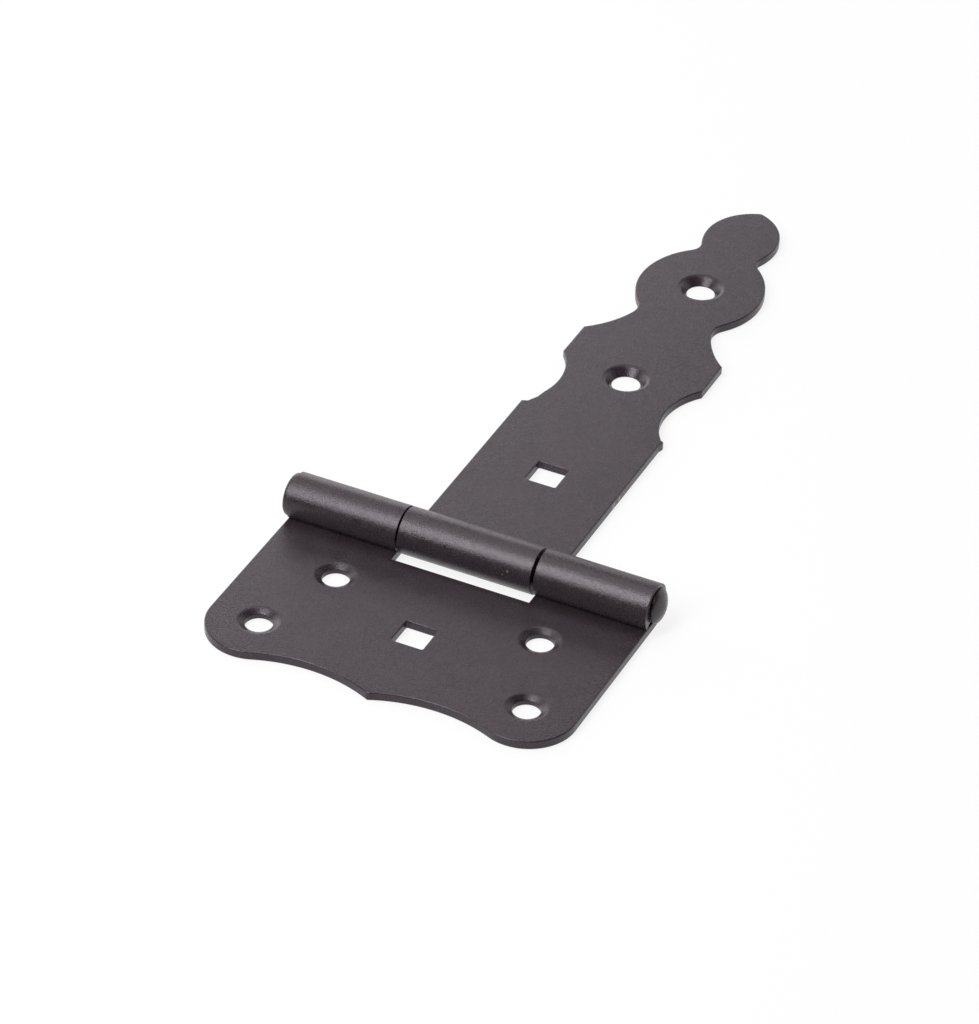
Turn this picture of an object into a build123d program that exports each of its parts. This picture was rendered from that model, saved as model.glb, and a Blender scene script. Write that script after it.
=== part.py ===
from build123d import *
import os
from math import acos, atan, atan2, degrees

os.makedirs("parts", exist_ok=True)

# Ornamental T-strap hinge, lying open and flat.
# X runs along the pin, Y from the pin towards the strap's head, and Z up.
# Both back faces lie on z = 0 and the pin axis is on y = 0.

# sheet and pin
sheet = 2.0                # thickness of both leaves
pin_radius = 3.3
running_clearance = 0.08   # radial, between the pin and the rolled bores
tip_gap = 0.15             # between each rolled tip and the face of its own leaf
edge_round = 0.2           # what the punch leaves on the front face's edges

# bracket leaf
bracket_width = 86.6
bracket_reach = 51.1       # pin axis to the lowest point of the outer corners
cusp_reach = bracket_reach - 0.1   # pin axis to the cusp at mid width
corner_radius = 11.1
scallop_radius = 35.0      # hollow between an outer corner and the cusp
slot_width = 33.2
slot_reach = 6.95          # pin axis to the front edge of the slot

# screw holes of the bracket leaf
inner_row = 17.8           # pin axis to the pair near the knuckles
inner_spacing = 49.0
outer_row = 39.6           # pin axis to the pair near the corners
outer_spacing = 63.5
bracket_hole_radius = 3.1
bracket_sink_radius = 4.6
bracket_hole_land = 1.2    # straight wall under the countersink

# strap leaf; its outline and its holes are placed from the tip, so a longer strap keeps its ornament
strap_width = 35.0
strap_reach = 156.7        # pin axis to the tip
end_play = 0.6             # mean gap at each end of the centre knuckle
knuckle_shift = -0.2       # the centre knuckle sits a little to the left
shoulder_reach = 6.95      # pin axis to where the strap widens behind its knuckle
notch_start = strap_reach - 96.4
notch_end = strap_reach - 74.2
notch_depth = 4.05
flare_start = strap_reach - 63.05         # upper corners of the shoulders
flare_depth = 1.35
lower_neck = (9.2, strap_reach - 49.25)   # half width and place of the neck below the lobe
lower_neck_round = 5.0
lobe_widest = (14.95, strap_reach - 36.15)
upper_neck = (6.6, strap_reach - 20.45)
upper_neck_round = 3.2
head_widest = (8.85, strap_reach - 12.2)

# holes of the strap leaf
strap_square_reach = 37.05
strap_hole_reach = strap_reach - 77.6     # pin axis to the nearer screw hole
strap_hole_spacing = 41.9
strap_hole_radius = 3.25
strap_sink_radius = 5.0
strap_hole_land = 0.3

# shared by both leaves
countersink_round = 0.6
square_side = 7.7
square_corner = 0.4

# ends of the pin
head_radius = 4.9
head_thickness = 1.4
head_round = 0.7
tail_radius = 4.1          # the hammered end, a low dome
tail_stand = 0.3           # bare pin between the knuckle and this dome
tail_length = 1.5
tail_round = 0.9

bore_radius = pin_radius + running_clearance
roll_radius = bore_radius + sheet
axis_height = roll_radius
knuckle_width = slot_width - 2 * end_play
outer_knuckle_width = (bracket_width - slot_width) / 2
# the sheet rolls on until its outer corner would meet the front face of its own leaf
tip_angle = degrees(acos((axis_height - sheet - tip_gap) / roll_radius))
roll_sweep = 360 - tip_angle


def heading(vector):
    return degrees(atan2(vector.Y, vector.X))


# An arc whose middle lies the given depth to the left of its chord.
def hollow_arc(start, end, depth):
    chord = Vector(*end) - Vector(*start)
    middle = (Vector(*start) + Vector(*end)) / 2
    off = Vector(-chord.Y, chord.X).normalized() * depth
    return ThreePointArc(start, middle + off, end)


# An arc from a neck or tip to the widest point of a lobe, where it runs upright.
def lobe_arc(neck, widest):
    across = widest[0] - neck[0]
    along = widest[1] - neck[1]
    radius = (across**2 + along**2) / (2 * across)
    centre = Vector(widest[0] - radius, widest[1])
    halfway = (Vector(*neck) - centre).normalized() + Vector(1, 0)
    return ThreePointArc(neck, centre + halfway.normalized() * radius, widest)


# A rolled knuckle from one x over a width. Seen along the pin, its sheet comes in from the leaf,
# passes under the pin, rises on the far side, closes over the top and ends on the leaf's front face.
def add_knuckle(left_x, width, away):
    section = Plane(origin=(left_x, 0, 0), x_dir=(0, away, 0), z_dir=(away, 0, 0))
    with BuildSketch(section) as roll:
        with BuildLine():
            outer = CenterArc((0, axis_height), roll_radius, 270, roll_sweep)
            inner = CenterArc((0, axis_height), bore_radius, 270, roll_sweep)
            Line(outer @ 0, inner @ 0)
            Line(outer @ 1, inner @ 1)
        make_face()
    extrude(roll.sketch, amount=width, dir=(1, 0, 0))


# Countersunk screw holes through the sheet, with a soft rim.
def add_screw_holes(centres, radius, sink_radius, land):
    slope = 2 * degrees(atan((sink_radius - radius) / (sheet - land)))
    with Locations(*[(x, y, sheet) for x, y in centres]):
        CounterSinkHole(radius, sink_radius, counter_sink_angle=slope)


def add_square_hole(y):
    with BuildSketch() as square:
        with Locations((0, y)):
            RectangleRounded(square_side, square_side, square_corner)
    extrude(square.sketch, amount=sheet, mode=Mode.SUBTRACT)


# Rounds every edge of a leaf's front face, which runs on smoothly into the knuckle's bore under the pin.
# The bore's ends take the same rounding, and the line under the pin itself stays as it is.
def soften_front(leaf):
    rims = leaf.edges().filter_by(GeomType.CIRCLE).filter_by_position(Axis.Z, sheet, sheet)
    fillet([rim for rim in rims if rim.is_closed], countersink_round)
    edges = leaf.edges().filter_by_position(Axis.Z, sheet, sheet)
    fillet([edge for edge in edges if abs(edge.center().Y) > edge_round and not edge.is_closed], edge_round)


with BuildPart() as bracket_leaf:
    with BuildSketch() as bracket_blank:
        corner = Vector(bracket_width / 2 - corner_radius, corner_radius - bracket_reach)
        cusp = Vector(0, -cusp_reach)
        lean = corner - cusp
        # the scallop's centre lies where it passes the cusp and touches the corner's circle
        touch = scallop_radius + corner_radius
        turn = degrees(
            acos((scallop_radius**2 + lean.length**2 - touch**2) / (2 * scallop_radius * lean.length))
        )
        scallop = cusp + lean.normalized().rotate(Axis.Z, -turn) * scallop_radius
        with BuildLine():
            Polyline(
                (0, -slot_reach),
                (slot_width / 2, -slot_reach),
                (slot_width / 2, 0),
                (bracket_width / 2, 0),
                (bracket_width / 2, corner.Y),
            )
            CenterArc(corner, corner_radius, 0, heading(scallop - corner))
            start = heading(corner - scallop)
            CenterArc(scallop, scallop_radius, start, heading(cusp - scallop) - start)
            mirror(about=Plane.YZ)
        make_face()
    extrude(amount=sheet)
    add_screw_holes(
        [(-inner_spacing / 2, -inner_row), (inner_spacing / 2, -inner_row)],
        bracket_hole_radius,
        bracket_sink_radius,
        bracket_hole_land,
    )
    add_screw_holes(
        [(-outer_spacing / 2, -outer_row), (outer_spacing / 2, -outer_row)],
        bracket_hole_radius,
        bracket_sink_radius,
        bracket_hole_land,
    )
    add_square_hole(-(inner_row + outer_row) / 2)
    for left_x in (-bracket_width / 2, slot_width / 2):
        add_knuckle(left_x, outer_knuckle_width, 1)
    soften_front(bracket_leaf)
bracket_leaf.part.label = "bracket_leaf"
export_step(bracket_leaf.part, "parts/bracket_leaf.step")

with BuildPart() as strap_leaf:
    with BuildSketch() as strap_blank:
        with BuildLine():
            Polyline((0, shoulder_reach), (strap_width / 2, shoulder_reach), (strap_width / 2, notch_start))
            hollow_arc((strap_width / 2, notch_start), (strap_width / 2, notch_end), notch_depth)
            Line((strap_width / 2, notch_end), (strap_width / 2, flare_start))
            hollow_arc((strap_width / 2, flare_start), lower_neck, flare_depth)
            lobe_arc(lower_neck, lobe_widest)
            lobe_arc(upper_neck, lobe_widest)
            lobe_arc(upper_neck, head_widest)
            lobe_arc((0, strap_reach), head_widest)
            mirror(about=Plane.YZ)
        make_face()
        for neck, radius in ((lower_neck, lower_neck_round), (upper_neck, upper_neck_round)):
            fillet(strap_blank.vertices().sort_by_distance((0, neck[1]))[:2], radius)
        with Locations((knuckle_shift, 0)):
            Rectangle(knuckle_width, shoulder_reach, align=(Align.CENTER, Align.MIN))
    extrude(amount=sheet)
    add_screw_holes(
        [(0, strap_hole_reach), (0, strap_hole_reach + strap_hole_spacing)],
        strap_hole_radius,
        strap_sink_radius,
        strap_hole_land,
    )
    add_square_hole(strap_square_reach)
    add_knuckle(knuckle_shift - knuckle_width / 2, knuckle_width, -1)
    soften_front(strap_leaf)
strap_leaf.part.label = "strap_leaf"
export_step(strap_leaf.part, "parts/strap_leaf.step")

with BuildPart() as hinge_pin:
    grip = bracket_width / 2
    head_corner = (-grip - head_thickness, head_radius)
    tail_corner = (grip + tail_length, tail_radius)
    # half section on the pin axis
    with BuildSketch(Plane(origin=(0, 0, axis_height), x_dir=(1, 0, 0), z_dir=(0, -1, 0))) as half_section:
        with BuildLine():
            Polyline(
                (head_corner[0], 0),
                head_corner,
                (-grip, head_radius),
                (-grip, pin_radius),
                (grip + tail_stand, pin_radius),
                (grip + tail_stand, tail_radius),
                tail_corner,
                (tail_corner[0], 0),
                close=True,
            )
        make_face()
        fillet(half_section.vertices().sort_by_distance(head_corner)[0], head_round)
        fillet(half_section.vertices().sort_by_distance(tail_corner)[0], tail_round)
    revolve(axis=Axis((0, 0, axis_height), (1, 0, 0)))
hinge_pin.part.label = "hinge_pin"
export_step(hinge_pin.part, "parts/hinge_pin.step")
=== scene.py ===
from math import acos, atan2, ceil, cos, degrees, pi, radians, sin, tan

import bpy
from mathutils import Matrix, Vector
from mathutils.geometry import delaunay_2d_cdt


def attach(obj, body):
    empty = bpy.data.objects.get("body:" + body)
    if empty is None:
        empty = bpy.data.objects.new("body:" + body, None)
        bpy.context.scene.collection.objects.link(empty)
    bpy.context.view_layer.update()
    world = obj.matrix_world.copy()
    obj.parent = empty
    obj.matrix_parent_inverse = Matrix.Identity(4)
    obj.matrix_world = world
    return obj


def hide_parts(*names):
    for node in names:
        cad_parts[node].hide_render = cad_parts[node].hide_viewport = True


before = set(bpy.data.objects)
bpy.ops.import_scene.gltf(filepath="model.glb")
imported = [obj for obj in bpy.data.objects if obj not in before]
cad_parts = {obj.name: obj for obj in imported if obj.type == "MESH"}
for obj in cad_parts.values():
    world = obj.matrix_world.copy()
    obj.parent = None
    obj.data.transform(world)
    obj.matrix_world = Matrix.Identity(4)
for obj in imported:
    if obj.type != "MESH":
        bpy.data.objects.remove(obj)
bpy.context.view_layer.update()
scene = bpy.context.scene
mm = 0.001
print("frame loaded:", ", ".join(sorted(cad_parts)))

# shared by both leaves, in millimetres
stock = {
    "sheet": 2.0,
    "rollRadius": 5.38,       # outside of the rolled knuckles
    "rollSweep": 306.9,       # degrees of roll, up to the gap over the leaf
    "frontRound": 0.3,        # edges of the front face, with their coat
    "backRound": 0.1,
    "squareSide": 7.45,       # punched at 7.7 and narrowed by the coat
    "squareCorner": 0.4,
    "countersinkRound": 1.5,  # where a countersink meets the front face
    "wallRound": 0.2,         # where it meets the hole's straight wall
    "waveLength": 10.0,       # of the rolled sheet's slight unevenness
    "waveFade": 0.6,          # radians of roll over which it grows
    # mesh steps
    "arcStep": 0.7,
    "roundSteps": 5,
    "holeSteps": 64,
    "squareSteps": 6,         # in each corner
    "rollRows": 60,
    "rollColumn": 2.2,
    "rollMargin": 1.6,        # from a tongue's side to its first column
    "rollTip": 0.8,           # from its last row to its end
}


class Wire:   # one socket of a node tree, which can be reckoned with like a number
    def __init__(self, tree, socket=None):
        self.tree, self.socket = tree, socket

    def node(self, kind, settings=None, inputs=None, out=0):
        made = self.tree.nodes.new(kind)
        for key, value in (settings or {}).items():
            setattr(made, key, value)
        for key, value in (inputs or {}).items():
            if isinstance(value, Wire):
                self.tree.links.new(value.socket, made.inputs[key])
            else:
                made.inputs[key].default_value = value
        return Wire(self.tree, None if out is None else made.outputs[out])

    def also(self, out):   # another output of the same node
        return Wire(self.tree, self.socket.node.outputs[out])

    def math(self, operation, *values, clamp=False):
        settings = {"operation": operation, "use_clamp": clamp}
        return self.node("ShaderNodeMath", settings, dict(enumerate(values)))

    def __add__(self, other):
        return self.math("ADD", self, other)

    def __sub__(self, other):
        return self.math("SUBTRACT", self, other)

    def __rsub__(self, other):
        return self.math("SUBTRACT", other, self)

    def __mul__(self, other):
        return self.math("MULTIPLY", self, other)

    def __truediv__(self, other):
        return self.math("DIVIDE", self, other)

    def __rtruediv__(self, other):
        return self.math("DIVIDE", other, self)

    def __gt__(self, other):
        return self.math("GREATER_THAN", self, other)

    __radd__ = __add__
    __rmul__ = __mul__

    def clamped(self):
        return self.math("ADD", self, 0.0, clamp=True)

    def between(self, low, high, toLow=0.0, toHigh=1.0):   # a smooth change from low to high
        spread = {"Value": self, "From Min": low, "From Max": high, "To Min": toLow, "To Max": toHigh}
        return self.node("ShaderNodeMapRange", {"interpolation_type": "SMOOTHSTEP"}, spread)

    def blend(self, first, second):   # colours, this wire being the share of the second
        return self.node("ShaderNodeMix", {"data_type": "RGBA"}, {0: self, 6: first, 7: second}, out=2)

    def noise(self, size, detail, roughness=0.5):   # size of one blotch, in millimetres
        return self.node("ShaderNodeTexNoise", None, {
            "Vector": self, "Scale": 1 / (size * mm), "Detail": detail, "Roughness": roughness})


def clearedTree(owner):   # of a material or a world
    owner.use_nodes = True
    owner.node_tree.nodes.clear()
    return Wire(owner.node_tree)


def meshPiece(name, points, faces):   # points in millimetres
    mesh = bpy.data.meshes.new(name)
    mesh.from_pydata([Vector(point) * mm for point in points], [], faces)
    mesh.validate()
    mesh.shade_smooth()
    piece = bpy.data.objects.new(name, mesh)
    scene.collection.objects.link(piece)
    return piece


# flat outlines are in millimetres and run with the metal on the left
def arcPoints(centre, radius, start, sweep, count=None):
    count = count or max(2, ceil(abs(radians(sweep)) * radius / stock["arcStep"]))
    turns = [radians(start + sweep * i / count) for i in range(count + 1)]
    return [centre + Vector((cos(turn), sin(turn))) * radius for turn in turns]


def arcTurn(centre, first, last):   # where an arc starts and how far it turns, the shorter way round
    start, end = (degrees(atan2(point.y - centre.y, point.x - centre.x)) for point in (first, last))
    return start, (end - start + 180) % 360 - 180


def arcBetween(centre, first, last):
    return arcPoints(centre, (first - centre).length, *arcTurn(centre, first, last))


def circlesMeet(centreA, reachA, centreB, reachB, near):
    gap = centreB - centreA
    along = (reachA**2 - reachB**2 + gap.length_squared) / (2 * gap.length)
    off = (reachA**2 - along**2) ** 0.5
    axis = gap.normalized()
    middle = centreA + axis * along
    found = [middle + Vector((-axis.y, axis.x)) * off * sign for sign in (1, -1)]
    return min(found, key=lambda point: (point - near).length)


def joined(*runs):   # runs of points end to end, without doubles
    line = []
    for run in runs:
        for point in run:
            if not line or (point - line[-1]).length > 1e-4:
                line.append(point)
    return line


# the corners between the first and the last are rounded, and the last itself is left out
def roundedLine(corners, rounds):
    corners = [Vector(corner) for corner in corners]
    line = corners[:1]
    for before, here, after, radius in zip(corners, corners[1:], corners[2:], rounds):
        inward, outward = (before - here).normalized(), (after - here).normalized()
        half = acos(max(-1, min(1, inward.dot(outward)))) / 2
        reach = radius / tan(half)
        centre = here + (inward + outward).normalized() * radius / sin(half)
        turn = arcTurn(centre, here + inward * reach, here + outward * reach)
        line += arcPoints(centre, radius, *turn, stock["roundSteps"])
    return line


# how an edge runs from the back face to the front one: (distance into the metal, height)
def plainEdge():
    sheet = stock["sheet"]
    corners = [(1, 0), (0, 0), (0, sheet), (1, sheet)]
    return roundedLine(corners, [stock["backRound"], stock["frontRound"]])[1:]


def countersunkEdge(rim, wall):
    sheet = stock["sheet"]
    corners = [(1, 0), (0, 0), (0, wall), (rim, sheet), (rim + 1, sheet)]
    return roundedLine(corners, [stock["backRound"], stock["wallRound"], stock["countersinkRound"]])[1:]


def roundHole(centre, radius, sinkRadius, wall):
    rim = arcPoints(Vector(centre), radius, 0, -360, stock["holeSteps"])[:-1]
    return rim, countersunkEdge(sinkRadius - radius, wall)


def squareHole(centre):
    radius = stock["squareCorner"]
    reach = stock["squareSide"] / 2 - radius
    rim = []
    for start, corner in ((180, (-1, 1)), (90, (1, 1)), (0, (1, -1)), (-90, (-1, -1))):
        turnCentre = Vector(centre) + Vector(corner) * reach
        rim += arcPoints(turnCentre, radius, start, -90, stock["squareSteps"])
    return rim, plainEdge()


def offsetLoop(loop, distance):   # moved into the metal, mitred at the corners
    moved = []
    for i, here in enumerate(loop):
        before, after = loop[i - 1], loop[(i + 1) % len(loop)]
        arrive, leave = (here - before).normalized(), (after - here).normalized()
        first, last = Vector((-arrive.y, arrive.x)), Vector((-leave.y, leave.x))
        moved.append(here + (first + last) * distance / (1 + first.dot(last)))
    return moved


def fillBetween(cells, bounds):   # the triangles on the left of the outline and of the holes' rims
    owner = {(cell[i - 1], cell[i]): k for k, cell in enumerate(cells) for i in range(3)}
    edges = set(bounds)
    waiting = [owner[edge] for edge in bounds]
    kept = set(waiting)
    while waiting:
        cell = cells[waiting.pop()]
        for i in range(3):
            edge = (cell[i - 1], cell[i])
            beside = owner.get(edge[::-1])
            if edge not in edges and beside is not None and beside not in kept:
                kept.add(beside)
                waiting.append(beside)
    return [cells[k] for k in sorted(kept)]


def stampedBlank(name, loops, inner):   # the sheet before it is rolled
    points, faces, rims = [], [], {"back": [], "front": []}
    for loop, edge in loops:
        rings = []
        for across, up in edge:
            rings.append(range(len(points), len(points) + len(loop)))
            points += [(p.x, p.y, up) for p in offsetLoop(loop, across)]
        for low, high in zip(rings, rings[1:]):
            for i in range(len(loop)):
                k = (i + 1) % len(loop)
                faces.append((low[i], low[k], high[k], high[i]))
        rims["back"].append(rings[0])
        rims["front"].append(rings[-1])
    for side, height in (("back", 0.0), ("front", stock["sheet"])):
        known = [k for ring in rims[side] for k in ring]
        spots = [Vector(points[k][:2]) for k in known] + inner
        bounds, first = [], 0
        for ring in rims[side]:
            bounds += [(first + i, first + (i + 1) % len(ring)) for i in range(len(ring))]
            first += len(ring)
        found, _, cells, origins, _, _ = delaunay_2d_cdt(spots, bounds, [], 0, 1e-5, True)
        places = []
        for spot, origin in zip(found, origins):
            if origin and origin[0] < len(known):
                places.append(known[origin[0]])
            else:
                places.append(len(points))
                points.append((spot.x, spot.y, height))
        rim = [(known[a], known[b]) for a, b in bounds]
        for cell in fillBetween([[places[k] for k in cell] for cell in cells], rim):
            faces.append(cell if side == "front" else cell[::-1])
    return meshPiece(name, points, faces)


def tongueRows():   # distances along the roll
    length = radians(stock["rollSweep"]) * stock["rollRadius"]
    rows = stock["rollRows"]
    return [(length - stock["rollTip"]) * i / rows for i in range(rows + 1)] + [length]


def tongueGrid(left, right, away):   # points inside a tongue, so that it bends evenly
    first, last = left + stock["rollMargin"], right - stock["rollMargin"]
    count = ceil((last - first) / stock["rollColumn"])
    columns = [first + (last - first) * i / count for i in range(count + 1)]
    return [Vector((x, row * away)) for row in tongueRows()[:-1] for x in columns]


def newTree(name, inputs):   # inputs: (name, socket type, value)
    tree = bpy.data.node_groups.new(name, "GeometryNodeTree")
    for label, kind, value in [("Geometry", "Geometry", None), *inputs, ("Material", "Material", None)]:
        socket = tree.interface.new_socket(label, in_out="INPUT", socket_type="NodeSocket" + kind)
        if value is not None:
            socket.default_value = value
    tree.interface.new_socket("Geometry", in_out="OUTPUT", socket_type="NodeSocketGeometry")
    return Wire(tree), Wire(tree).node("NodeGroupInput", out="Geometry")


def closeTree(pen, given, geometry):
    whole = pen.node("GeometryNodeRealizeInstances", None, {0: geometry})
    coated = pen.node("GeometryNodeSetMaterial", None, {
        "Geometry": whole, "Material": given.also("Material")})
    pen.node("NodeGroupOutput", None, {"Geometry": coated}, out=None)
    return pen.tree


def runTree(piece, tree, values):   # the tree's result as a plain mesh
    modifier = piece.modifiers.new(tree.name, "NODES")
    modifier.node_group = tree
    for item in tree.interface.items_tree:
        if item.in_out == "INPUT" and item.name in values:
            modifier[item.identifier] = values[item.name]
    # large faces set the shading, and the rounded edges take up the turn
    piece.modifiers.new("evenNormals", "WEIGHTED_NORMAL").mode = "FACE_AREA"
    bpy.context.view_layer.update()
    made = bpy.data.meshes.new_from_object(piece.evaluated_get(bpy.context.evaluated_depsgraph_get()))
    made.name = piece.name
    piece.modifiers.clear()
    piece.data = made


def rollTree():   # the tongues of a blank roll up round the pin
    pen, given = newTree("rollRoundPin", [
        ("Roll Radius", "Float", 0.005), ("Away", "Float", 1.0), ("Waviness", "Float", 0.0),
        ("Wave Length", "Float", 0.01), ("Wave Fade", "Float", 1.0), ("Seed", "Float", 0.0)])
    radius, away = given.also("Roll Radius"), given.also("Away")
    place = pen.node("GeometryNodeInputPosition")
    x = pen.node("ShaderNodeSeparateXYZ", None, {0: place})
    beyond = x.also("Y") * away
    angle = beyond / radius
    wobble = pen.node("ShaderNodeTexNoise", {"noise_dimensions": "4D"}, {
        "Vector": place, "W": given.also("Seed"), "Scale": 1 / given.also("Wave Length"), "Detail": 1.0})
    rise = (angle / given.also("Wave Fade")).clamped()
    level = radius - x.also("Z") + (wobble - 0.5) * given.also("Waviness") * rise
    rolled = pen.node("ShaderNodeCombineXYZ", None, {
        "X": x, "Y": level * pen.math("SINE", angle) * away,
        "Z": radius - level * pen.math("COSINE", angle)})
    bent = pen.node("GeometryNodeSetPosition", None, {
        "Geometry": given, "Selection": beyond > 0.0, "Position": rolled})
    return closeTree(pen, given, bent)


# the coat on every part: a dark, slightly purple powder coat with a fine, hard grain
def powderCoat(name, look):
    material = bpy.data.materials.new(name)
    pen = clearedTree(material)
    spot = pen.node("ShaderNodeTexCoord", out="Object")
    grain = spot.noise(look["grain"], 2.0, 0.6)
    dust = spot.noise(look["grain"] * look["dust"], 1.0)
    cloud = spot.noise(look["cloud"], 3.0, 0.55)
    drift = spot.noise(look["drift"], 2.0)
    byGrain, byDust, byCloud = look["toneMix"]
    tone = (grain * byGrain + dust * byDust + cloud * byCloud).between(*look["toneSpan"])
    colour = tone.blend(look["dark"], look["light"])
    colour = (drift.between(*look["castSpan"]) * look["castShare"]).blend(colour, look["cast"])
    colour = (dust.between(*look["speckSpan"]) * look["speckShare"]).blend(colour, look["speck"])
    # lighter spots: bare chips in the coat at the strap's edge, and painted glints on the barrel
    for *place, reach in look["chipAndGlintSpots"]:
        offCentre = pen.node("ShaderNodeVectorMath", {"operation": "DISTANCE"}, {
            0: spot, 1: [number * mm for number in place]}, out="Value")
        chipAndGlintMask = (grain + offCentre.between(reach * mm, 0.0) - look["chipAndGlintLevel"]) * look["chipAndGlintEdge"]
        colour = chipAndGlintMask.clamped().blend(colour, look["chipAndGlintColour"])
    uneven = (grain - 0.5) * look["roughnessSpread"]
    rough = look["roughness"] + uneven + (cloud - 0.5) * look["roughnessDrift"]
    coarse, fine = look["bumpMix"]
    bump = pen.node("ShaderNodeBump", None, {
        "Strength": look["bump"], "Distance": look["grain"] * look["bumpDepth"] * mm,
        "Height": grain * coarse + dust * fine})
    shader = pen.node("ShaderNodeBsdfPrincipled", None, {
        "Base Color": colour, "Roughness": rough, "IOR": look["ior"], "Specular Tint": look["gleam"],
        "Normal": bump})
    pen.node("ShaderNodeOutputMaterial", None, {"Surface": shader}, out=None)
    return material


leafCoat = {   # sizes in millimetres
    "grain": 0.28,
    "dust": 0.45,                        # finer grain, as a share of the grain's size
    "cloud": 4.0,
    "drift": 20.0,
    "toneMix": (0.45, 0.3, 0.25),        # shares of grain, dust and cloud
    "toneSpan": (0.38, 0.62),
    "dark": (0.0125, 0.0085, 0.011, 1),
    "light": (0.037, 0.026, 0.033, 1),
    "cast": (0.025, 0.018, 0.0195, 1),   # a faint brown drift
    "castSpan": (0.35, 0.65),
    "castShare": 0.6,
    "speck": (0.075, 0.062, 0.072, 1),   # pale grains
    "speckSpan": (0.6, 0.72),
    "speckShare": 0.5,
    # place and reach of the lighter spots: two bare chips in the coat on the strap's right edge, and two
    # painted glints on its barrel
    "chipAndGlintSpots": (
        (17.9, 34.6, 0.7, 1.9), (17.8, 37.6, 0.9, 1.2), (10.4, -5.2, 6.9, 0.4), (9.3, -5.4, 5.8, 0.3)),
    "chipAndGlintColour": (0.3, 0.25, 0.24, 1),
    "chipAndGlintLevel": 0.9,                     # higher leaves less of each spot
    "chipAndGlintEdge": 3.0,
    "roughness": 0.255,
    "roughnessSpread": 0.26,
    "roughnessDrift": 0.1,
    "gleam": (1.0, 0.91, 1.0, 1),
    "ior": 1.5,
    "bump": 0.85,
    "bumpMix": (0.6, 0.4),               # shares of grain and dust
    "bumpDepth": 0.3,                    # as a share of the grain's size
}
leafMaterial = powderCoat("leafPowderCoat", leafCoat)
print("powder coat mixed")

bracket = {
    "width": 86.6,
    "reach": 51.1,
    "cuspReach": 51.0,
    "cornerRadius": 11.1,
    "scallopRadius": 35.0,
    "scallopNear": (20, -80),   # of the two circles that fit, the one nearer to this
    "slot": (-16.6, 16.6),
    "slotReach": 6.95,
    "screwHoles": ((-24.5, -17.8), (24.5, -17.8), (-31.75, -39.6), (31.75, -39.6)),
    "screwHole": {"radius": 3.1, "sinkRadius": 4.6, "wall": 1.2},
    "squareHole": (0, -28.7),
    "waviness": 0.03,
    "seed": 3.0,
}


def bracketOutline():
    half, rows = bracket["width"] / 2, tongueRows()
    radius, scallopRadius = bracket["cornerRadius"], bracket["scallopRadius"]
    corner = Vector((half - radius, radius - bracket["reach"]))
    cusp = Vector((0, -bracket["cuspReach"]))
    near = Vector(bracket["scallopNear"])
    scallop = circlesMeet(corner, scallopRadius + radius, cusp, scallopRadius, near)
    meet = corner + (scallop - corner).normalized() * radius

    def side(slotX):   # from the cusp round to the middle of the slot
        foot = joined(
            arcBetween(scallop, cusp, meet), arcBetween(corner, meet, corner + Vector((radius, 0))))
        outer = [Vector((half, row)) for row in rows]
        inner = [Vector((slotX, row)) for row in reversed(rows)]
        return joined(foot, outer, inner, [Vector((slotX, -bracket["slotReach"]))])

    right = side(bracket["slot"][1])
    left = [Vector((-p.x, p.y)) for p in reversed(side(-bracket["slot"][0]))]
    return joined(right, left)[:-1]


bracketLoops = [(bracketOutline(), plainEdge()), squareHole(bracket["squareHole"])]
bracketLoops += [roundHole(spot, **bracket["screwHole"]) for spot in bracket["screwHoles"]]
bracketInner = tongueGrid(-bracket["width"] / 2, bracket["slot"][0], 1)
bracketInner += tongueGrid(bracket["slot"][1], bracket["width"] / 2, 1)
bracketLeaf = stampedBlank("bracketLeaf", bracketLoops, bracketInner)
roller = rollTree()
rollValues = {
    "Roll Radius": stock["rollRadius"] * mm, "Wave Length": stock["waveLength"] * mm,
    "Wave Fade": stock["waveFade"], "Material": leafMaterial}
runTree(bracketLeaf, roller, {
    **rollValues, "Away": 1.0, "Waviness": bracket["waviness"] * mm, "Seed": bracket["seed"]})
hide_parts("bracket_leaf")
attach(bracketLeaf, "bracket")
print("bracket leaf rolled:", len(bracketLeaf.data.polygons), "faces")

strap = {
    "width": 35.0,
    "reach": 156.7,
    "knuckle": (-16.2, 15.8),
    "shoulderReach": 6.95,
    "notch": (60.3, 82.5),
    "notchDepth": 4.05,
    # corners at each notch's lower end, a nub and a step, and how far up the arc starts
    "rightNotchFoot": (((17.5, 58.8), (17.85, 59.8), (17.8, 60.45)), 60.8),
    "leftNotchFoot": (((17.5, 60.3), (16.2, 60.8), (14.9, 63.3)), 65.5),
    "flareStart": 93.65,
    "flareDepth": 1.35,
    "lowerNeck": (9.2, 107.45),
    "lowerNeckRound": 5.0,
    "lobeWidest": (14.95, 120.55),
    "upperNeck": (6.6, 136.25),
    "upperNeckRound": 3.2,
    "headWidest": (8.85, 144.5),
    "screwHoles": ((0, 79.1), (0, 121.0)),
    "screwHole": {"radius": 3.3, "sinkRadius": 5.0, "wall": 0.2},
    "squareHole": (0, 37.05),
    "waviness": 0.03,
    "seed": 8.0,
}


def hollowCircle(start, end, depth):   # centre and radius of an arc that cuts this deep into the side
    chord = end - start
    radius = (chord.length_squared / 4 + depth**2) / (2 * depth)
    return (start + end) / 2 + Vector((chord.y, -chord.x)).normalized() * (radius - depth), radius


def lobeCircle(neck, widest):   # an arc that runs upright where the lobe is widest
    across, along = widest.x - neck.x, widest.y - neck.y
    radius = (across**2 + along**2) / (2 * across)
    return Vector((widest.x - radius, widest.y)), radius


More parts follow.
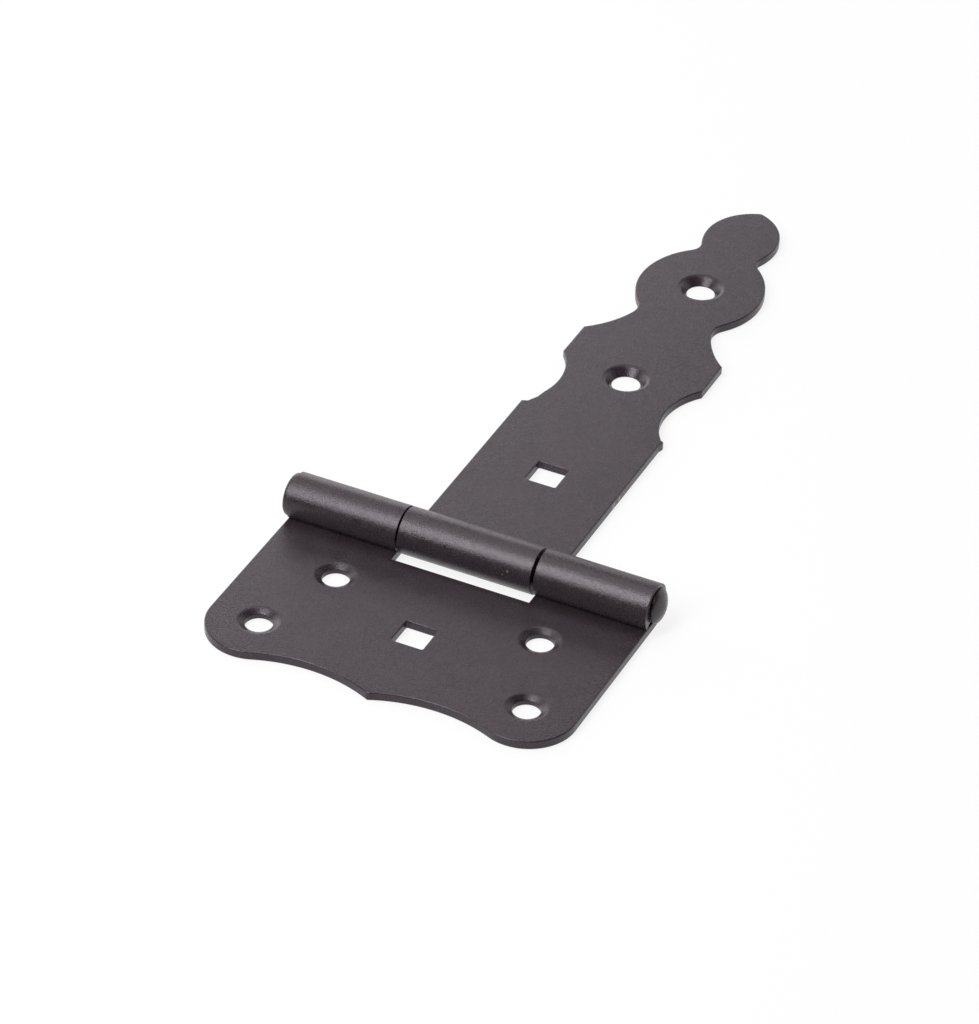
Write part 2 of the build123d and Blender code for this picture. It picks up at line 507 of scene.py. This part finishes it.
def strapOutline():
    half, rows = strap["width"] / 2, tongueRows()
    lowRound, highRound = strap["lowerNeckRound"], strap["upperNeckRound"]
    notchLow, notchHigh = (Vector((half, y)) for y in strap["notch"])
    flare, tip = Vector((half, strap["flareStart"])), Vector((0, strap["reach"]))
    lowerNeck, upperNeck = Vector(strap["lowerNeck"]), Vector(strap["upperNeck"])
    lobe, head = Vector(strap["lobeWidest"]), Vector(strap["headWidest"])
    notch, _ = hollowCircle(notchLow, notchHigh, strap["notchDepth"])
    hollow, hollowRadius = hollowCircle(flare, lowerNeck, strap["flareDepth"])
    lobeLow, lobeLowRadius = lobeCircle(lowerNeck, lobe)
    lobeHigh, lobeHighRadius = lobeCircle(upperNeck, lobe)
    headLow, headLowRadius = lobeCircle(upperNeck, head)
    headHigh, _ = lobeCircle(tip, head)
    lower = circlesMeet(hollow, hollowRadius - lowRound, lobeLow, lobeLowRadius + lowRound, lowerNeck)
    upper = circlesMeet(
        lobeHigh, lobeHighRadius + highRound, headLow, headLowRadius + highRound, upperNeck)

    def touch(centre, radius, neck):   # where a neck's rounding meets the arc of this circle
        return centre + (neck - centre).normalized() * radius

    hollowEnd, lobeStart = touch(hollow, hollowRadius, lower), touch(lobeLow, lobeLowRadius, lower)
    lobeEnd, headStart = touch(lobeHigh, lobeHighRadius, upper), touch(headLow, headLowRadius, upper)
    notchArc = arcBetween(notch, notchLow, notchHigh)
    ornament = joined(
        [flare], arcBetween(hollow, flare, hollowEnd), arcBetween(lower, hollowEnd, lobeStart),
        arcBetween(lobeLow, lobeStart, lobe), arcBetween(lobeHigh, lobe, lobeEnd),
        arcBetween(upper, lobeEnd, headStart), arcBetween(headLow, headStart, head),
        arcBetween(headHigh, head, tip))

    def side(knuckleX, foot, arcStart):   # from the end of the tongue up to the tip
        tongue = [Vector((knuckleX, -row)) for row in reversed(rows)]
        shoulder = [Vector((x, strap["shoulderReach"])) for x in (knuckleX, half)]
        rest = [point for point in notchArc if point.y > arcStart]
        return joined(tongue, shoulder, [Vector(point) for point in foot], rest, ornament)

    right = side(strap["knuckle"][1], *strap["rightNotchFoot"])
    left = side(-strap["knuckle"][0], *strap["leftNotchFoot"])
    return joined(right, [Vector((-p.x, p.y)) for p in reversed(left)])


strapLoops = [(strapOutline(), plainEdge()), squareHole(strap["squareHole"])]
strapLoops += [roundHole(spot, **strap["screwHole"]) for spot in strap["screwHoles"]]
strapLeaf = stampedBlank("strapLeaf", strapLoops, tongueGrid(*strap["knuckle"], -1))
runTree(strapLeaf, roller, {
    **rollValues, "Away": -1.0, "Waviness": strap["waviness"] * mm, "Seed": strap["seed"]})
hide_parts("strap_leaf")
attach(strapLeaf, "strap")
print("strap leaf rolled:", len(strapLeaf.data.polygons), "faces")

pin = {
    "radius": 3.3,
    "grip": 43.3,                # half the length between head and tail
    "headRadius": 4.9,
    "headThickness": 1.4,
    "headRound": 0.7,
    "headBackRound": 0.15,
    "shankRound": 0.1,           # where the shank meets the head and the tail
    "tailRadius": 4.0,
    "tailStand": 0.06,           # bare pin between the knuckle and its hammered end
    "tailSwell": 0.1,            # by which it is thicker there
    "tailRim": 0.4,              # thickness of the hammered end at its rim
    "tailRound": 0.3,
    "tailHeight": 2.0,           # with the dome that the hammer has made
    "tailPoint": 1.3,            # 1 is an ellipse, and more is nearer to a cone
    "tailShift": (0.55, 0.25),   # the dome is off centre
    "tailLean": (0.012, 0.05),   # and leans, so that the gap opens below
    "domeSteps": 24,
    "around": 72,
}


def turnedPiece(name, profile, around):   # profile: (along the pin, radius), from pole to pole
    height = stock["rollRadius"]
    points, faces = [(profile[0][0], 0, height)], []
    for x, radius in profile[1:-1]:
        turns = [2 * pi * i / around for i in range(around)]
        points += [(x, radius * cos(turn), height + radius * sin(turn)) for turn in turns]
    points.append((profile[-1][0], 0, height))
    last = len(points) - 1
    for i in range(around):
        k = (i + 1) % around
        faces.append((0, 1 + k, 1 + i))
        for ring in range(len(profile) - 3):
            low, high = 1 + ring * around, 1 + (ring + 1) * around
            faces.append((low + i, low + k, high + k, high + i))
        faces.append((last, last - around + i, last - around + k))
    return meshPiece(name, points, faces)


grip, shank, soft = pin["grip"], pin["radius"], pin["shankRound"]
headEnd, tailStart = -grip - pin["headThickness"], grip + pin["tailStand"]
domeStart, domeHeight = tailStart + pin["tailRim"], pin["tailHeight"] - pin["tailRim"]
pinProfile = roundedLine([
    (headEnd, 0), (headEnd, pin["headRadius"]), (-grip, pin["headRadius"]), (-grip, shank),
    (grip, shank), (tailStart, shank + pin["tailSwell"]), (tailStart, pin["tailRadius"]),
    (domeStart, pin["tailRadius"]),
], [pin["headRound"], pin["headBackRound"], soft, soft, soft, pin["tailRound"]])
for i in range(pin["domeSteps"]):
    turn = pi / 2 * (i + 1) / pin["domeSteps"]
    rise, width = (wave(turn) ** pin["tailPoint"] for wave in (sin, cos))
    pinProfile.append(Vector((domeStart + domeHeight * rise, pin["tailRadius"] * width)))
hingePin = turnedPiece("hingePin", pinProfile, pin["around"])
for point in hingePin.data.vertices:
    share = min(1, max(0, (point.co.x / mm - grip) / pin["tailStand"]))
    lean = Vector((point.co.y, point.co.z - stock["rollRadius"] * mm)).dot(Vector(pin["tailLean"]))
    point.co += Vector((-lean, *(shift * mm for shift in pin["tailShift"]))) * share
hingePin.data.materials.append(leafMaterial)
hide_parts("hinge_pin")
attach(hingePin, "bracket")
print("hinge pin turned")

studio = {
    "floorColour": (0.86, 0.86, 0.86, 1),
    "floorShadow": 0.15,     # share of the floor's look that takes light and shadow
    "floorReach": 3000,      # millimetres to each side
    "floorDrop": 0.3,        # under the hinge's back
    "boardColour": (0.02, 0.02, 0.02, 1),
    "board": {"y": -500, "halfWidth": 1200, "height": 240},   # millimetres
    "horizon": (7, 11),      # degrees over which the white horizon fades
    "ceiling": 0.06,
    "lamps": {   # degrees and metres; azimuth 0 is behind the part and 90 to its right
        "keySoftbox": {
            "azimuth": 206, "elevation": 51, "distance": 0.85, "size": (0.29, 0.69), "radiance": 10.5},
        "rearSoftbox": {
            "azimuth": 302, "elevation": 22, "distance": 0.86, "size": (1.3, 0.52), "radiance": 2.05},
        "sideSoftbox": {
            "azimuth": 288, "elevation": 72, "distance": 0.79, "size": (0.85, 0.43), "radiance": 2.0},
        "backSoftbox": {
            "azimuth": 23, "elevation": 24, "distance": 1.1, "size": (1.5, 0.55), "radiance": 1.05},
    },
}

reach, drop = studio["floorReach"], studio["floorDrop"]
corners = ((-reach, -reach), (reach, -reach), (reach, reach), (-reach, reach))
floor = meshPiece("floor", [(x, y, -drop) for x, y in corners], [(0, 1, 2, 3)])
paper = bpy.data.materials.new("paleFloor")
pen = clearedTree(paper)
ray = pen.node("ShaderNodeLightPath", out="Is Camera Ray")
shown = (ray + ray.also("Is Glossy Ray") + ray.also("Is Transmission Ray")).clamped()
matt = pen.node("ShaderNodeBsdfDiffuse", None, {"Color": studio["floorColour"]})
glow = pen.node("ShaderNodeEmission", None, {"Color": (1, 1, 1, 1), "Strength": 1.0})
share = shown * (1 - studio["floorShadow"])
pen.node("ShaderNodeOutputMaterial", None, {
    "Surface": pen.node("ShaderNodeMixShader", None, {0: share, 1: matt, 2: glow})}, out=None)
floor.data.materials.append(paper)

# a dark board that keeps the white horizon out of the barrel's front
y, halfWidth, top = (studio["board"][key] for key in ("y", "halfWidth", "height"))
corners = ((-halfWidth, 0), (-halfWidth, top), (halfWidth, top), (halfWidth, 0))
board = meshPiece("frontBoard", [(x, y, z) for x, z in corners], [(0, 1, 2, 3)])
board.visible_camera = False
felt = bpy.data.materials.new("blackFelt")
pen = clearedTree(felt)
pen.node("ShaderNodeOutputMaterial", None, {
    "Surface": pen.node("ShaderNodeBsdfDiffuse", None, {"Color": studio["boardColour"]})}, out=None)
board.data.materials.append(felt)

world = bpy.data.worlds.new("studioSky")   # a white horizon all round under a dim ceiling
scene.world = world
pen = clearedTree(world)
direction = pen.node("ShaderNodeTexCoord", out="Generated")
height = pen.node("ShaderNodeSeparateXYZ", None, {0: direction}).also("Z")
white, dim = (sin(radians(angle)) for angle in studio["horizon"])
pen.node("ShaderNodeOutputWorld", None, {"Surface": pen.node("ShaderNodeBackground", None, {
    "Color": (1, 1, 1, 1), "Strength": height.between(white, dim, 1.0, studio["ceiling"])})}, out=None)


def softbox(name, look):   # a lamp that faces the part
    turn, lift = radians(look["azimuth"]), radians(look["elevation"])
    toward = Vector((sin(turn) * cos(lift), cos(turn) * cos(lift), sin(lift)))
    lamp = bpy.data.lights.new(name, "AREA")
    lamp.shape = "RECTANGLE"
    lamp.size, lamp.size_y = look["size"]
    lamp.energy = look["radiance"] * pi * lamp.size * lamp.size_y
    holder = bpy.data.objects.new(name, lamp)
    holder.location = toward * look["distance"]
    holder.rotation_euler = toward.to_track_quat("Z", "Y").to_euler()
    scene.collection.objects.link(holder)


for name, look in studio["lamps"].items():
    softbox(name, look)

photo = {   # where the photograph was taken from, in millimetres and degrees
    "width": 979,            # pixels
    "height": 1024,
    "focal": 5128.4,         # in pixels
    "azimuth": 24.901,
    "elevation": 36.534,
    "roll": 1.799,
    "distance": 1132.37,
    "aim": (-6.278, 20.773),
    "clip": (50, 20000),
}
azimuth, elevation, roll = (radians(photo[key]) for key in ("azimuth", "elevation", "roll"))
back = Vector((sin(azimuth) * cos(elevation), -cos(azimuth) * cos(elevation), sin(elevation)))
right = Vector((cos(azimuth), sin(azimuth), 0))
up = back.cross(right)
across, upright = right * cos(roll) + up * sin(roll), up * cos(roll) - right * sin(roll)
lens = bpy.data.cameras.new("photoCamera")
lens.lens = photo["focal"] / max(photo["width"], photo["height"]) * lens.sensor_width
lens.clip_start, lens.clip_end = (reach * mm for reach in photo["clip"])
camera = bpy.data.objects.new("photoCamera", lens)
place = (Vector((*photo["aim"], 0)) + back * photo["distance"]) * mm
camera.matrix_world = Matrix.Translation(place) @ Matrix((across, upright, back)).transposed().to_4x4()
scene.collection.objects.link(camera)
scene.camera = camera
scene.view_settings.view_transform = "Standard"
print("studio set")
